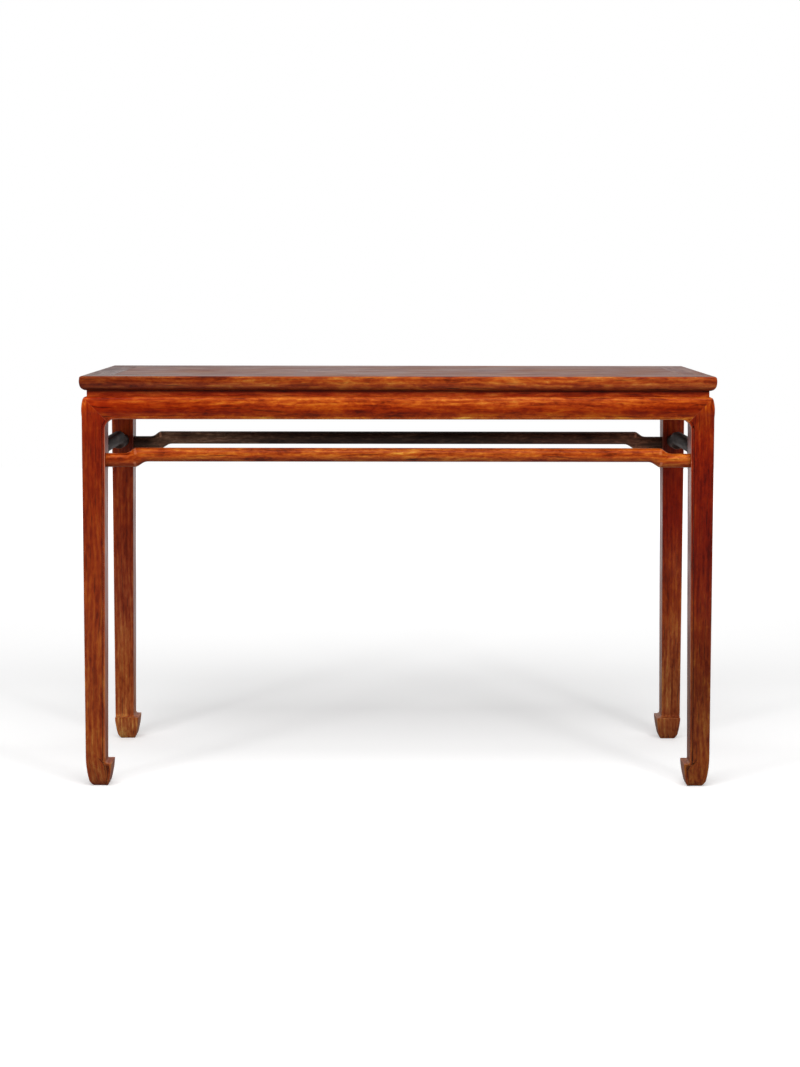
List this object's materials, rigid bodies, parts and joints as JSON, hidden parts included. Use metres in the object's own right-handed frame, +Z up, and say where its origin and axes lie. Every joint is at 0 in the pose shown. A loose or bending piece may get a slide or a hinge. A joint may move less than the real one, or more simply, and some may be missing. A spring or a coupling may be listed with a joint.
{
  "type": "waisted side table",
  "caption": "Waisted corner-leg side table with mitred framed top, beaded aprons, humpback stretchers and square legs ending in inward hoof feet.",
  "frame": {"origin": "on the floor, under the middle of the top", "axes": "+X along the length of the top, +Y towards the back, +Z up"},
  "size_m": [1.27, 0.45, 0.833],
  "materials": {
    "frame_wood": "satin oiled hardwood, amber brown, long straight grain",
    "panel_wood": "satin oiled hardwood, brown, worn top",
    "waist_wood": "satin oiled hardwood, red brown",
    "apron_wood": "satin oiled hardwood, orange brown, mottled figure",
    "leg_wood": "satin oiled hardwood, red brown, vertical grain",
    "stretcher_wood": "satin oiled hardwood, orange brown",
    "inner_wood": "unpolished hardwood, dry"
  },
  "bodies": {
    "root": {"top_frame_front": "frame_wood", "top_frame_back": "frame_wood", "top_frame_left": "frame_wood", "top_frame_right": "frame_wood", "top_panel": "panel_wood", "panel_brace_left": "inner_wood", "panel_brace_middle": "inner_wood", "panel_brace_right": "inner_wood", "waist_front": "waist_wood", "waist_back": "waist_wood", "waist_left": "waist_wood", "waist_right": "waist_wood", "apron_front": "apron_wood", "apron_back": "apron_wood", "apron_left": "apron_wood", "apron_right": "apron_wood", "leg_front_left": "leg_wood", "leg_front_right": "leg_wood", "leg_back_left": "leg_wood", "leg_back_right": "leg_wood", "stretcher_front": "stretcher_wood", "stretcher_back": "stretcher_wood", "stretcher_left": "stretcher_wood", "stretcher_right": "stretcher_wood", "apron_keys": "inner_wood"}
  },
  "joints": []
}
